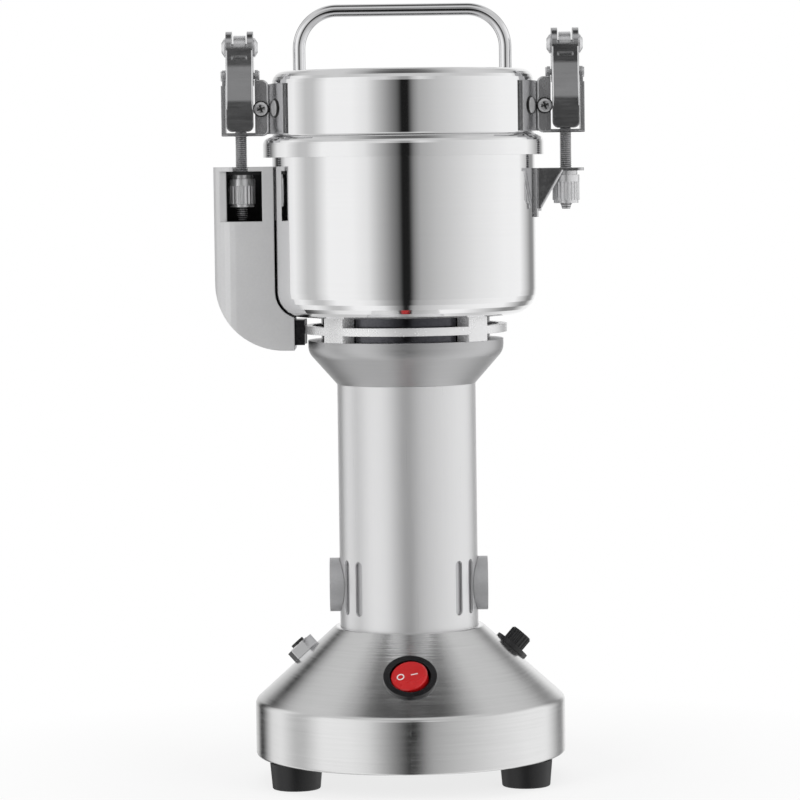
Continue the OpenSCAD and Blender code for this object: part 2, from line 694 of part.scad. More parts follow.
module blade() difference() {
    linear_extrude(blade_t) for (s = [0, 180]) rotate([0, 0, s]) polygon([
        [-blade_root_w / 2, -blade_root_h / 2], [blade_root_w / 2, -blade_root_h / 2],
        [blade_l * blade_tip_shares[0], -blade_sweep], [blade_l, -blade_sweep / 2],
        [blade_l * blade_tip_shares[1], blade_w - blade_sweep],
        [blade_root_w / 2, blade_root_h / 2], [-blade_root_w / 2, blade_root_h / 2]]);
    translate([0, 0, -cut]) cylinder(r = thread_r + fit, h = blade_t + 2 * cut);
    for (s = [0, 180]) rotate([0, 0, s])
        translate([blade_root_w / 2, -blade_root_h / 2, blade_t / 3])
        rotate([blade_bevel_a, 0, 0]) translate([0, -2 * blade_bevel, 0])
        cube([blade_l, 2 * blade_bevel, blade_bevel]);
}
module lower_blade() color("lightsteelblue") translate([0, 0, blade_seat_z]) blade();
module blade_spacer() color("silver") translate([0, 0, blade_seat_z + blade_t])
    tube(2 * thread_r, thread_r + fit, blade_gap);
module upper_blade() color("lightsteelblue")
    translate([0, 0, blade_seat_z + blade_t + blade_gap]) rotate([0, 0, 90]) blade();
blade_nut_r = 7.6;
blade_nut_dome_r = 6;
module blade_nut() color("silver") translate([0, 0, blade_seat_z + 2 * blade_t + blade_gap])
    difference() {
        union() {
            cylinder(r = blade_nut_r, h = blade_nut_h, $fn = 6);
            translate([0, 0, blade_nut_h]) intersection() {
                sphere(r = blade_nut_dome_r);
                cylinder(r = blade_nut_r, h = blade_nut_r);
            }
        }
        translate([0, 0, -cut]) cylinder(r = thread_r + fit, h = blade_nut_h + cut + fit);
    }

/* Lid */
lid_curve = 4;
lid_crease = 1.2;
module lid() color("silver") difference() {
    spun(strip(bent([[lid_r + lid_step, lid_shoulder_z - lid_skirt_h],
        [lid_r + lid_step, lid_shoulder_z], [lid_r, lid_shoulder_z], [lid_r, lid_top_z],
        [0, lid_top_z]], [0, lid_curve, lid_crease, lid_round, 0]), sheet_t));
    both_sides() translate([handle_x, 0, lid_top_z - 2 * sheet_t])
        cylinder(r = handle_bolt_r + fit, h = 3 * sheet_t);
    for (az = bracket_rivet_az, side = [0, 180])
        radial_hole(side + az, bracket_mid_z, rivet_r + fit, lid_r);
}
module lid_gasket() color("white") translate([0, 0, rim_z])
    tube(bowl_r + rim_w - sheet_t - 2 * seat, lid_r - sheet_t + 2 * seat, gasket_h - fit);

handle_x = (handle_w - handle_d) / 2;
handle_bolt_r = 2;
handle_bolt_in = 10;
bend_r = handle_round - handle_d / 2;
bend_z = lid_top_z + handle_h - handle_round;
module lid_handle() color("silver") difference() {
    union() {
        both_sides() {
            translate([handle_x, 0, lid_top_z]) cylinder(r = handle_d / 2, h = bend_z - lid_top_z);
            translate([handle_x - bend_r, 0, bend_z]) rotate([90, 0, 0]) rotate_extrude(angle = 90)
                translate([bend_r, 0]) circle(r = handle_d / 2);
        }
        translate([0, 0, bend_z + bend_r]) along_x()
            cylinder(r = handle_d / 2, h = 2 * (handle_x - bend_r), center = true);
    }
    both_sides() translate([handle_x, 0, lid_top_z - cut])
        cylinder(r = handle_bolt_r + fit, h = handle_bolt_in + cut + fit);
}
handle_head_r = 4;
handle_head_h = 2.5;
module handle_screws() color("silver") both_sides() translate([handle_x, 0, lid_top_z - sheet_t]) {
    translate([0, 0, -handle_head_h]) cylinder(r = handle_head_r, h = handle_head_h);
    cylinder(r = handle_bolt_r, h = handle_bolt_in);
}

/* Latches: drawn for the right side, and mirrored for the left */
sheet_b = 1.5;
bracket_spread = 27.8;
bracket_low_z = lid_shoulder_z + lid_crease + 2 * seat;
bracket_high_z = lid_top_z - lid_round - 2 * seat;
screw_up = 13.9;
bracket_mid_z = lid_shoulder_z + screw_up;
bracket_rivet_a = 19.5;
bracket_rivet_az = [-bracket_rivet_a, bracket_rivet_a];
frame_front = 6.5;
frame_back = 7;
frame_lift = 0.6;
frame_h = 27.5;
frame_low_z = lid_shoulder_z + frame_lift;
frame_top_z = frame_low_z + frame_h;
frame_corner = 3;
lip_down = 2.6;
play = 0.55;
cheek_x = lever_w / 2 + play;
screw_in = 10.3;
frame_bolt_r = 1.4;
tab_end = latch_x - cheek_x - sheet_b;
frame_edge_x = lid_r + sheet_b + 2 * seat;
module lid_brackets() color("silver") both_sides() difference() {
    union() {
        translate([0, 0, bracket_low_z])
            ring_part(lid_r + seat, sheet_b, bracket_high_z - bracket_low_z, bracket_spread);
        translate([lid_r, -frame_front + sheet_b, bracket_low_z])
            cube([tab_end - lid_r - seat, sheet_b, bracket_high_z - bracket_low_z]);
    }
    translate([latch_x - screw_in, 0, bracket_mid_z]) rotate([90, 0, 0])
        cylinder(r = frame_bolt_r + fit, h = frame_front + cut);
    for (az = bracket_rivet_az) radial_hole(az, bracket_mid_z, rivet_r + fit, lid_r);
}
ear_r = 3;
pivot_pin_r = 1.6;
outer_lip = 2.1;
module latch_frames() color("silver") both_sides() difference() {
    union() {
        for (s = [-1, 1]) translate([latch_x + s * (cheek_x + sheet_b / 2) - sheet_b / 2, 0, 0]) {
            translate([0, -frame_front, frame_low_z])
                cube([sheet_b, frame_front + frame_back, frame_top_z - frame_low_z]);
            translate([0, -ear_r, frame_top_z]) cube([sheet_b, 2 * ear_r, pivot_z - frame_top_z]);
            translate([0, 0, pivot_z]) along_x() cylinder(r = ear_r, h = sheet_b);
        }
        translate([0, -frame_front + sheet_b, 0]) rotate([90, 0, 0]) linear_extrude(sheet_b)
            polygon(rounded([[frame_edge_x, frame_low_z], [latch_x - cheek_x, frame_low_z],
                [latch_x - cheek_x, frame_top_z], [frame_edge_x, frame_top_z]],
                [frame_corner, 0, 0, frame_corner]));
        translate([latch_x + cheek_x, -frame_front, frame_low_z])
            cube([outer_lip, sheet_b, frame_top_z - lip_down - frame_low_z]);
        translate([latch_x - cheek_x - sheet_b, -frame_front, frame_low_z])
            cube([2 * (cheek_x + sheet_b), frame_front + frame_back, sheet_b]);
    }
    translate([latch_x - rod_slot_w / 2, -over_centre, frame_low_z - cut])
        cube([rod_slot_w, frame_back + 2 * cut, sheet_b + 2 * cut]);
    translate([latch_x, -over_centre, frame_low_z - cut])
        cylinder(r = rod_slot_w / 2, h = sheet_b + 2 * cut);
    translate([latch_x, 0, pivot_z]) along_x()
        cylinder(r = pivot_pin_r + fit, h = 2 * lever_w, center = true);
    translate([latch_x - screw_in, 0, bracket_mid_z]) rotate([90, 0, 0])
        cylinder(r = frame_bolt_r + fit, h = frame_front + cut);
}
rod_play = 0.8;
rod_slot_w = 2 * (rod_r + rod_play);
rivet_head_r = 2.6;
rivet_head_h = 1.3;
bracket_head_r = 3.9;
bracket_head_h = 0.8;
module radial_rivet(azimuth, z, inner, outer, head_r, head_h) rotate([0, 0, azimuth])
    translate([inner, 0, z]) along_x() {
        cylinder(r = rivet_r, h = outer - inner);
        translate([0, 0, outer - inner]) cylinder(r = head_r, h = head_h);
    }
module latch_rivets() color("silver") both_sides() {
    for (az = bracket_rivet_az)
        radial_rivet(az, bracket_mid_z, lid_r - sheet_t, lid_r + seat + sheet_b + fit,
            bracket_head_r, bracket_head_h);
    for (z = catch_rivet_z)
        radial_rivet(0, z, bowl_r - sheet_t, bowl_r + seat + sheet_b + fit,
            rivet_head_r, rivet_head_h);
}
screw_head_r = 3.5;
screw_head_h = 1.8;
screw_head_edge = 1.1;
screw_recess_w = 1;
screw_recess_l = 4;
module frame_screws() color("silver") both_sides()
    translate([latch_x - screw_in, -frame_front, bracket_mid_z]) rotate([90, 0, 0]) {
        difference() {
            spun(rounded([[0, 0], [screw_head_r, 0], [screw_head_r, screw_head_h],
                [0, screw_head_h]], [0, 0, screw_head_edge, 0]));
            for (a = [0, 90]) rotate([0, 0, a])
                translate([-screw_recess_l / 2, -screw_recess_w / 2, screw_head_h / 2])
                cube([screw_recess_l, screw_recess_w, screw_head_h]);
        }
        translate([0, 0, -2 * sheet_b - cut]) cylinder(r = frame_bolt_r, h = 2 * sheet_b + cut);
    }
pivot_head_r = 2.6;
module pivot_rivets() color("silver") both_sides() translate([latch_x, 0, pivot_z])
    for (m = [0, 1]) mirror([m, 0, 0]) along_x() let(stub_in = lever_w / 2 - flange_t) {
        translate([0, 0, stub_in]) cylinder(r = pivot_pin_r, h = cheek_x + sheet_b - stub_in);
        translate([0, 0, cheek_x + sheet_b + fit])
            cylinder(r = pivot_head_r, h = sheet_b / 2);
        translate([0, 0, cheek_x + sheet_b / 2])
            cylinder(r = pivot_pin_r, h = sheet_b / 2 + 2 * fit);
    }

// Levers, with the pivot as their own origin
flange_t = 3;
fork_r = 8;
web_t = 2;
web_front = 9.2;
web_bow = 2.8;
web_round = 3;
web_shares = [0.33, 0.45];
hub_r = 5;
rib_w = 7.2;
rib_h = 1.5;
rib_out = 0.6;
knuckle_pin_r = 2;
web_path = bent([[-web_front, toggle_l], [-web_front, toggle_l * web_shares[0]],
    [-web_front - web_bow, -lever_l * web_shares[1]], [-web_front - web_bow, -lever_l]],
    [0, toggle_l, toggle_l, 0]);
module lever_shape() difference() {
    union() {
        for (m = [0, 1]) mirror([m, 0, 0]) translate([lever_w / 2 - flange_t, 0, 0]) {
            translate([0, -over_centre, toggle_l]) along_x() cylinder(r = fork_r, h = flange_t);
            translate([0, -web_front + web_t / 2, 0])
                cube([flange_t, web_front - web_t / 2 + hub_r, toggle_l]);
            along_x() cylinder(r = hub_r, h = flange_t);
        }
        intersection() {
            rotate([90, 0, 90]) translate([0, 0, -lever_w / 2]) linear_extrude(lever_w)
                polygon(strip(web_path, web_t));
            translate([0, 0, -lever_l]) rotate([90, 0, 0]) linear_extrude(2 * web_front)
                polygon(rounded([[-lever_w / 2, 0], [lever_w / 2, 0],
                    [lever_w / 2, lever_l + 2 * toggle_l], [-lever_w / 2, lever_l + 2 * toggle_l]],
                    [web_round, web_round, 0, 0]));
        }
        translate([-rib_w / 2, -web_front - rib_out, toggle_l - 2 * web_round])
            cube([rib_w, web_t, rib_h]);
    }
    along_x() cylinder(r = pivot_pin_r + fit, h = 2 * lever_w, center = true);
    translate([0, -over_centre, toggle_l]) along_x()
        cylinder(r = knuckle_pin_r + fit, h = 2 * lever_w, center = true);
}
pin_head_r = 4.8;
pin_head_h = 2.2;
pin_head_edge = 0.8;
module knuckle_pin() translate([0, -over_centre, toggle_l]) for (m = [0, 1]) mirror([m, 0, 0])
    along_x() {
        cylinder(r = knuckle_pin_r, h = lever_w / 2 + pin_head_edge);
        translate([0, 0, lever_w / 2]) spun([[0, 0], [pin_head_r, 0], [pin_head_r, pin_head_edge],
            [pin_head_r - pin_head_h, pin_head_h], [0, pin_head_h]]);
    }
eye_r = 6;
eye_w = 5.8;
thread_d = 0.45;
thread_end = 2;
thread_stop = 18;
// A rod hangs from its knuckle pin, with ring grooves for its thread
module rod_shape(l) difference() {
    union() {
        along_x() cylinder(r = eye_r, h = eye_w, center = true);
        let(turns = floor((l - thread_stop) / thread_pitch),
            top = -l + thread_end + turns * thread_pitch)
            spun(concat([[0, -l], [rod_r - thread_end / 2, -l], [rod_r - thread_d, -l + thread_end]],
                [for (i = [0:turns - 1], k = [0, 1]) k == 0
                    ? [rod_r, -l + thread_end + (i + 0.5) * thread_pitch]
                    : [rod_r - thread_d, -l + thread_end + (i + 1) * thread_pitch]],
                [[rod_r - fit, top], [rod_r - fit, -eye_r / 2], [0, -eye_r / 2]]));
    }
    along_x() cylinder(r = knuckle_pin_r + fit, h = 2 * eye_w, center = true);
}
nut_collar_r = 5.75;
nut_collar_h = 2;
nut_band_h = 3.5;
nut_rim_h = 1.5;
knurls = 22;
knurl_d = 0.5;
// A knurled nut, with its top as its own origin
module nut_shape() difference() {
    union() {
        translate([0, 0, -nut_collar_h]) cylinder(r = nut_collar_r, h = nut_collar_h);
        translate([0, 0, -nut_collar_h - nut_band_h]) cylinder(r = nut_r, h = nut_band_h);
        translate([0, 0, -nut_h + nut_rim_h])
            linear_extrude(nut_h - nut_collar_h - nut_band_h - nut_rim_h)
            polygon([for (i = [0:4 * knurls - 1]) let(a = i * 90 / knurls,
                r = nut_r - fit - (i % 4 > 1 ? knurl_d : 0)) r * [cos(a), sin(a)]]);
        translate([0, 0, -nut_h]) cylinder(r = nut_r - knurl_d - seat, h = nut_rim_h + cut);
    }
    translate([0, 0, -nut_h - cut]) cylinder(r = rod_r + fit, h = nut_h + 2 * cut);
}
nut_z = catch_z - sheet_b - fit;
module at_pivot(m) mirror([m, 0, 0]) translate([latch_x, 0, pivot_z]) children();
module at_rod(m, z) mirror([m, 0, 0]) translate([latch_x, -over_centre, z]) children();
module left_lever() color("dimgray") at_pivot(1) lever_shape();
module right_lever() color("dimgray") at_pivot(0) lever_shape();
module left_knuckle_pin() color("silver") at_pivot(1) knuckle_pin();
module right_knuckle_pin() color("silver") at_pivot(0) knuckle_pin();
module left_rod() color("silver") at_rod(1, knuckle_z) rod_shape(rod_l_left);
module right_rod() color("silver") at_rod(0, knuckle_z) rod_shape(rod_l_right);
module left_nut() color("silver") at_rod(1, nut_z) nut_shape();
module right_nut() color("silver") at_rod(0, nut_z) nut_shape();

/* Catches on the bowl */
catch_spread = 10.8;
catch_lip = 2;
catch_end = latch_x + nut_r + catch_lip;
catch_front = nut_r + over_centre + play + sheet_b;
catch_back = 4.8;
catch_corner = 3;
gusset_in = 2;
gusset_top = latch_x - gusset_in;
gusset_low = 20;
module catch_plate() difference() {
    union() {
        translate([0, 0, catch_z - catch_h])
            ring_part(bowl_r + seat, sheet_b, catch_h, catch_spread);
        translate([0, 0, catch_z - sheet_b]) linear_extrude(sheet_b)
            polygon(rounded([[bowl_r + sheet_b, -catch_front], [catch_end, -catch_front],
                [catch_end, catch_back], [bowl_r + sheet_b, catch_back]],
                [0, catch_corner, catch_corner, 0]));
    }
    translate([latch_x, -over_centre, catch_z - sheet_b - cut])
        cylinder(r = rod_r + play, h = sheet_b + 2 * cut);
    translate([latch_x - rod_r - play, -over_centre, catch_z - sheet_b - cut])
        cube([2 * (rod_r + play), catch_back + over_centre + cut, sheet_b + 2 * cut]);
    for (z = catch_rivet_z) radial_hole(0, z, rivet_r + fit, bowl_r);
}
// The right catch has a gusset in front. The left one stands in the side housing without
module catches() color("silver") {
    mirror([1, 0, 0]) catch_plate();
    union() {
        catch_plate();
        translate([0, -catch_front + sheet_b, 0]) rotate([90, 0, 0]) linear_extrude(sheet_b)
            polygon(rounded([[bowl_r + sheet_t, catch_z - gusset_low],
                [bowl_r + sheet_b + sheet_t, catch_z - gusset_low],
                [gusset_top, catch_z - sheet_b / 2], [bowl_r + sheet_t, catch_z - sheet_b / 2]],
                [0, sheet_t, 0, 0]));
    }
}

/* Side housing, drawn on the right and mirrored to the left */
housing_low_z = bowl_z - housing_drop;
housing_top_z = bowl_z + housing_h;
housing_foot_x = 55;
housing_edge = 11;
bowl_space = 0.8;
window_room = [3.7, 4.2];
window_in = latch_x - nut_r - window_room[0];
window_out = latch_x + nut_r + window_room[1];
window_up = 64;
window_low = housing_low_z + window_up;
exit_gap = 1;
module housing_solid(inset) intersection() {
    translate([0, housing_back - inset, 0]) rotate([90, 0, 0])
        linear_extrude(housing_front + housing_back - 2 * inset) polygon(rounded([
            [housing_foot_x - inset, housing_low_z + inset],
            [housing_x - inset, housing_low_z + inset],
            [housing_x - inset, housing_top_z - inset],
            [housing_foot_x - inset, housing_top_z - inset]],
            [0, housing_round - inset, 0, 0]));
    translate([0, 0, housing_low_z]) linear_extrude(housing_top_z - housing_low_z)
        polygon(rounded([[housing_foot_x - inset, inset - housing_front],
            [housing_x - inset, inset - housing_front],
            [housing_x - inset, housing_back - inset],
            [housing_foot_x - inset, housing_back - inset]],
            [0, housing_edge - inset, housing_edge - inset, 0]));
}
screw_az = -26;
screw_y = 3;
corner_x = housing_x - housing_round;
corner_z = housing_low_z + housing_round;
// The lower outer corner's centre, with +Z along the screw, outwards
module at_housing_screw() translate([corner_x, screw_y, corner_z])
    rotate([0, 90 - screw_az, 0]) children();
sink_r = 4;
sink_d = 2.4;
housing_bolt_r = 1.6;
module side_housing() color("silver") mirror([1, 0, 0]) difference() {
    housing_solid(0);
    housing_solid(housing_wall);
    spun(rounded([[0, bowl_z - bowl_space], [bowl_r + bowl_space, bowl_z - bowl_space],
        [bowl_r + bowl_space, housing_top_z + cut], [0, housing_top_z + cut]],
        [0, bowl_round + bowl_space, 0, 0]));
    translate([window_in, -housing_front - cut, window_low])
        cube([window_out - window_in, housing_wall + 2 * cut,
              housing_top_z - housing_wall - window_low]);
    translate([latch_x - rod_slot_w / 2, -housing_front - cut, housing_top_z - housing_wall - cut])
        cube([rod_slot_w, housing_front + toggle_l, housing_wall + 2 * cut]);
    translate([latch_x, toggle_l - over_centre, housing_top_z - housing_wall - cut])
        cylinder(r = nut_r + exit_gap, h = housing_wall + 2 * cut);
    at_housing_screw() {
        cylinder(r = housing_bolt_r + fit, h = housing_round + cut);
        translate([0, 0, housing_round - sink_d / 2]) cylinder(r = sink_r, h = sink_d);
    }
}
module housing_screw() color("gray") mirror([1, 0, 0]) at_housing_screw() difference() {
    union() {
        translate([0, 0, housing_round - sink_d / 2]) cylinder(r = sink_r - gap, h = sink_d / 2);
        translate([0, 0, housing_round - boss_in]) cylinder(r = housing_bolt_r, h = boss_in);
    }
    translate([-sink_r, -slot_t / 4, housing_round - sink_d / 4])
        cube([2 * sink_r, slot_t / 2, sink_d]);
}
boss_in = 9;
boss_foot = 7;
mount_front = 7;
mount_back = 11;
mount_h = 12.5;
arm_t = 4;
arm_end = -20;
mount_boss_r = 4.5;
module housing_mount() color("dimgray") mirror([1, 0, 0]) difference() {
    union() {
        translate([collar_r, -mount_front, housing_low_z + housing_wall + seat])
            cube([housing_foot_x + arm_t - collar_r, mount_front + mount_back, mount_h]);
        translate([housing_foot_x, -mount_front, housing_low_z + housing_wall + seat])
            cube([corner_x - housing_foot_x, mount_front + mount_back, arm_t]);
        translate([corner_x, 0, corner_z]) rotate([90, 0, 0]) rotate([0, 0, -90])
            rotate_extrude(angle = 90 + arm_end)
            translate([housing_round - housing_wall - seat - arm_t, -mount_back])
            square([arm_t, mount_front + mount_back]);
        at_housing_screw() translate([0, 0, housing_round - housing_wall - arm_t - boss_foot])
            cylinder(r = mount_boss_r, h = boss_foot + cut);
    }
    cylinder(r = spacer_r + seat, h = bowl_z);
    at_housing_screw() translate([0, 0, housing_round - boss_in - cut])
        cylinder(r = housing_bolt_r + fit, h = boss_in + 2 * cut);
}
micro_w = 18;
micro_d = 10;
micro_h = 16;
module interlock_switch() color("black") mirror([1, 0, 0])
    translate([housing_x - housing_edge - micro_w, housing_back - housing_wall - seat - micro_d,
               corner_z - micro_h])
    cube([micro_w, micro_d, micro_h]);

base_shell();
base_plate();
feet();
foot_screws();
cord_gland();
switch_housing();
switch_rocker();
breaker_body();
breaker_nut();
reset_button();
fuse_holder();
fuse_cap();
fuse_link();
column();
neck_ring();
lower_bracket();
bearings();
brush_holders();
brushes();
brush_springs();
brush_caps();
stator_core();
field_coils();
motor_shaft();
armature_core();
armature_windings();
commutator();
cooling_fan();
motor_cone();
bearing_housing();
spacer_ring();
bowl_screws();
bowl();
bowl_seal();
lower_blade();
blade_spacer();
upper_blade();
blade_nut();
lid();
lid_gasket();
lid_handle();
handle_screws();
lid_brackets();
latch_frames();
latch_rivets();
frame_screws();
pivot_rivets();
left_lever();
right_lever();
left_knuckle_pin();
right_knuckle_pin();
left_rod();
right_rod();
left_nut();
right_nut();
catches();
side_housing();
housing_screw();
housing_mount();
interlock_switch();
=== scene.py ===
import math

import bmesh
import bpy
from mathutils import Matrix, Vector


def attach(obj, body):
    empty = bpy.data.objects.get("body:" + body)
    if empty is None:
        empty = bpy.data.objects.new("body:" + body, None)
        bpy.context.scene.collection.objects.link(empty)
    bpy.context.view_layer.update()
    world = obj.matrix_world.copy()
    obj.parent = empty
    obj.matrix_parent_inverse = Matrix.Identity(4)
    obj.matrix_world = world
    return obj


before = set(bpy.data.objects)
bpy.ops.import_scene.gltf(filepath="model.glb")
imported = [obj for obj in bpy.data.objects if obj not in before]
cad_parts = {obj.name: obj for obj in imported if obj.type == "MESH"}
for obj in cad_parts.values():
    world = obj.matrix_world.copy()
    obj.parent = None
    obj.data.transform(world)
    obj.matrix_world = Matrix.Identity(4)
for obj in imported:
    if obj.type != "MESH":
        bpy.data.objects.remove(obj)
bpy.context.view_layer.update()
scene = bpy.context.scene
scene.view_settings.view_transform = "Standard"

# The camera stands 1.87 m in front, just under the lid's height, and looks a little down
camera = bpy.data.objects.new("camera", bpy.data.cameras.new("camera"))
scene.collection.objects.link(camera)
camera.location = (0.0, -1.87, 0.309)
camera.rotation_euler = [math.radians(a) for a in (86.344, 0.741, 0.0537)]
camera.data.sensor_width = 36.0
camera.data.lens = 169.04
camera.data.clip_end = 100.0
scene.camera = camera


# Helpers that add nodes. They take sockets, or numbers where that is said, and return a socket
def new_tree(name):
    look = bpy.data.materials.new(name)
    look.use_nodes = True
    look.node_tree.nodes.clear()
    return look, look.node_tree


def add(tree, kind, **settings):
    """Returns the node itself. A setting that starts with in_ is the value of a socket."""
    node = tree.nodes.new(kind)
    for key, value in settings.items():
        if key.startswith("in_"):
            node.inputs[key[3:].replace("_", " ")].default_value = value
        else:
            setattr(node, key, value)
    return node


def calc(tree, operation, a, b):
    """One sum on two sockets or numbers."""
    node = add(tree, "ShaderNodeMath", operation=operation)
    for value, socket in zip((a, b), node.inputs):
        if isinstance(value, float):
            socket.default_value = value
        else:
            tree.links.new(value, socket)
    return node.outputs[0]


def length(tree, a, b):
    """How long a flat vector with these two parts is."""
    flat = add(tree, "ShaderNodeCombineXYZ")
    tree.links.new(a, flat.inputs["X"])
    tree.links.new(b, flat.inputs["Y"])
    node = add(tree, "ShaderNodeVectorMath", operation="LENGTH")
    tree.links.new(flat.outputs[0], node.inputs[0])
    return node.outputs["Value"]


def ramp(tree, value, stops):
    """Stops of a position and a grey or colour."""
    node = add(tree, "ShaderNodeValToRGB")
    while len(node.color_ramp.elements) < len(stops):
        node.color_ramp.elements.new(0.5)
    for element, (at, v) in zip(node.color_ramp.elements, stops):
        element.position = at
        element.color = (v, v, v, 1) if isinstance(v, float) else (*v, 1)
    tree.links.new(value, node.inputs["Fac"])
    return node.outputs["Color"]


def varied(tree, noise_value, low, high):
    """A noise lies mostly between 0.3 and 0.7, which here gives low to high."""
    return ramp(tree, noise_value, [(0.3, low), (0.7, high)])


def position(tree, kind="Object"):
    """X, Y and Z, each as a socket."""
    co = add(tree, "ShaderNodeTexCoord")
    parts = add(tree, "ShaderNodeSeparateXYZ")
    tree.links.new(co.outputs[kind], parts.inputs[0])
    return parts.outputs


def mapped(tree, scale):
    co = add(tree, "ShaderNodeTexCoord")
    node = add(tree, "ShaderNodeMapping", in_Scale=scale)
    tree.links.new(co.outputs["Object"], node.inputs["Vector"])
    return node.outputs["Vector"]


def around_axis(tree, outwards, around, upwards):
    """Coordinates that run round the motor axis, so that marks lie as on a turned piece."""
    x, y, z = position(tree)
    scaled = add(tree, "ShaderNodeCombineXYZ")
    for value, scale, to in ((length(tree, x, y), outwards, "X"),
                             (calc(tree, "ARCTAN2", x, y), around, "Y"), (z, upwards, "Z")):
        tree.links.new(calc(tree, "MULTIPLY", value, scale), scaled.inputs[to])
    return scaled.outputs[0]


def noise(tree, vector, **settings):
    node = add(tree, "ShaderNodeTexNoise", in_Scale=1.0, **settings)
    tree.links.new(vector, node.inputs["Vector"])
    return node.outputs["Fac"]


def blend(tree, kind, share, a, b):
    """Colour b laid over colour a. A Mix node has them as sockets 7 and 6, and gives 2."""
    node = add(tree, "ShaderNodeMix", data_type="RGBA", blend_type=kind)
    for value, index in ((share, 0), (a, 6), (b, 7)):
        tree.links.new(value, node.inputs[index])
    return node.outputs[2]


def either(tree, share, a, b):
    """Shader a where the share is 0, and shader b where it is 1."""
    node = add(tree, "ShaderNodeMixShader")
    for value, socket in zip((share, a, b), node.inputs):
        tree.links.new(value, socket)
    return node.outputs[0]


def soft_edges(tree, shader, radius, bump=None):
    """Rounds the shading of sharp edges, and lays a bump over it where one is given."""
    if radius:
        edge = add(tree, "ShaderNodeBevel", samples=4, in_Radius=radius)
        tree.links.new(edge.outputs[0], (bump or shader).inputs["Normal"])
    if bump:
        tree.links.new(bump.outputs["Normal"], shader.inputs["Normal"])


# Looks of the pieces
def new_look(name):
    look, t = new_tree(name)
    out = add(t, "ShaderNodeOutputMaterial")
    shader = add(t, "ShaderNodeBsdfPrincipled")
    t.links.new(shader.outputs[0], out.inputs["Surface"])
    return look, t, shader


def metal(name, color, rough, spread=0.05, grain=None, bump=0.0, tone=0.06, edge=0.0,
          bare=1.0, groove=None):
    """A metal whose roughness and tone vary by spread and tone, with fine marks. grain
    stretches the marks, edge rounds its edges, bare is how little it is dulled or painted,
    and groove is the height of one groove of its thread."""
    look, t, shader = new_look(name)
    shader.inputs["Metallic"].default_value = bare
    if grain == "turned":
        marks, clouds = around_axis(t, 900.0, 1.2, 900.0), around_axis(t, 25.0, 1.5, 25.0)
    elif grain == "upright":
        marks, clouds = around_axis(t, 900.0, 220.0, 3.0), around_axis(t, 20.0, 2.0, 8.0)
    else:
        marks, clouds = mapped(t, grain or 3 * (900.0,)), mapped(t, 3 * (40.0,))
    fine = noise(t, marks, in_Detail=4.0, in_Roughness=0.65)
    wide = noise(t, clouds, in_Detail=5.0, in_Roughness=0.6)
    mean = add(t, "ShaderNodeMix", data_type="FLOAT", in_Factor=0.5)
    t.links.new(fine, mean.inputs["A"])
    t.links.new(wide, mean.inputs["B"])
    wear = mean.outputs["Result"]
    t.links.new(varied(t, wear, max(rough - spread, 0.02), rough + spread),
                shader.inputs["Roughness"])
    tint = varied(t, wear, [max(c - tone, 0.0) for c in color],
                  [min(c + tone / 2, 1.0) for c in color])
    marked = None
    # A thread gets painted shade and some dirt in its grooves
    if groove is not None:
        tint = thread_shade_and_dirt(t, tint, groove)
    elif bump:
        marked = add(t, "ShaderNodeBump", in_Strength=bump, in_Distance=0.0001)
        t.links.new(fine, marked.inputs["Height"])
    t.links.new(tint, shader.inputs["Base Color"])
    soft_edges(t, shader, edge, marked)
    return look


def thread_shade_and_dirt(tree, tint, groove):
    """Painted shade and some dirt in the thread's grooves. It ends where the plain shank
    begins.
    """
    pitch, thread_top = 0.001, 0.3475
    co = add(tree, "ShaderNodeTexCoord")
    wave = add(tree, "ShaderNodeTexWave", bands_direction="Z", in_Scale=math.pi / 10 / pitch,
               in_Phase_Offset=-math.tau * (groove / pitch % 1))
    tree.links.new(co.outputs["Object"], wave.inputs["Vector"])
    groove_shade_and_dirt = ramp(tree, wave.outputs["Fac"], [(0.1, 0.12), (0.6, 1.0)])
    below = calc(tree, "LESS_THAN", position(tree)["Z"], thread_top)
    return blend(tree, "MULTIPLY", below, tint, groove_shade_and_dirt)


def plastic(name, color, rough, coat=0.0, bump=0.15, tone=0.15, edge=0.0):
    """A moulded or rubber skin with a fine grain, faint clouds and a little wear."""
    look, t, shader = new_look(name)
    shader.inputs["Coat Weight"].default_value = coat
    shader.inputs["Coat Roughness"].default_value = 0.08
    fine = noise(t, mapped(t, 3 * (2500.0,)), in_Detail=2.0)
    wide = noise(t, mapped(t, 3 * (60.0,)), in_Detail=5.0)
    tint = varied(t, wide, [v * (1 - tone) for v in color],
                  [min(v * (1 + tone) + 0.002, 1.0) for v in color])
    t.links.new(tint, shader.inputs["Base Color"])
    t.links.new(varied(t, wide, max(rough - 0.06, 0.02), min(rough + 0.06, 1.0)),
                shader.inputs["Roughness"])
    grain = add(t, "ShaderNodeBump", in_Strength=bump, in_Distance=0.0002)
    t.links.new(fine, grain.inputs["Height"])
    soft_edges(t, shader, edge, grain)
    return look


def clear_glass(name):
    look, t, shader = new_look(name)
    shader.inputs["Transmission Weight"].default_value = 1.0
    t.links.new(varied(t, noise(t, mapped(t, 3 * (300.0,))), 0.02, 0.08),
                shader.inputs["Roughness"])
    return look


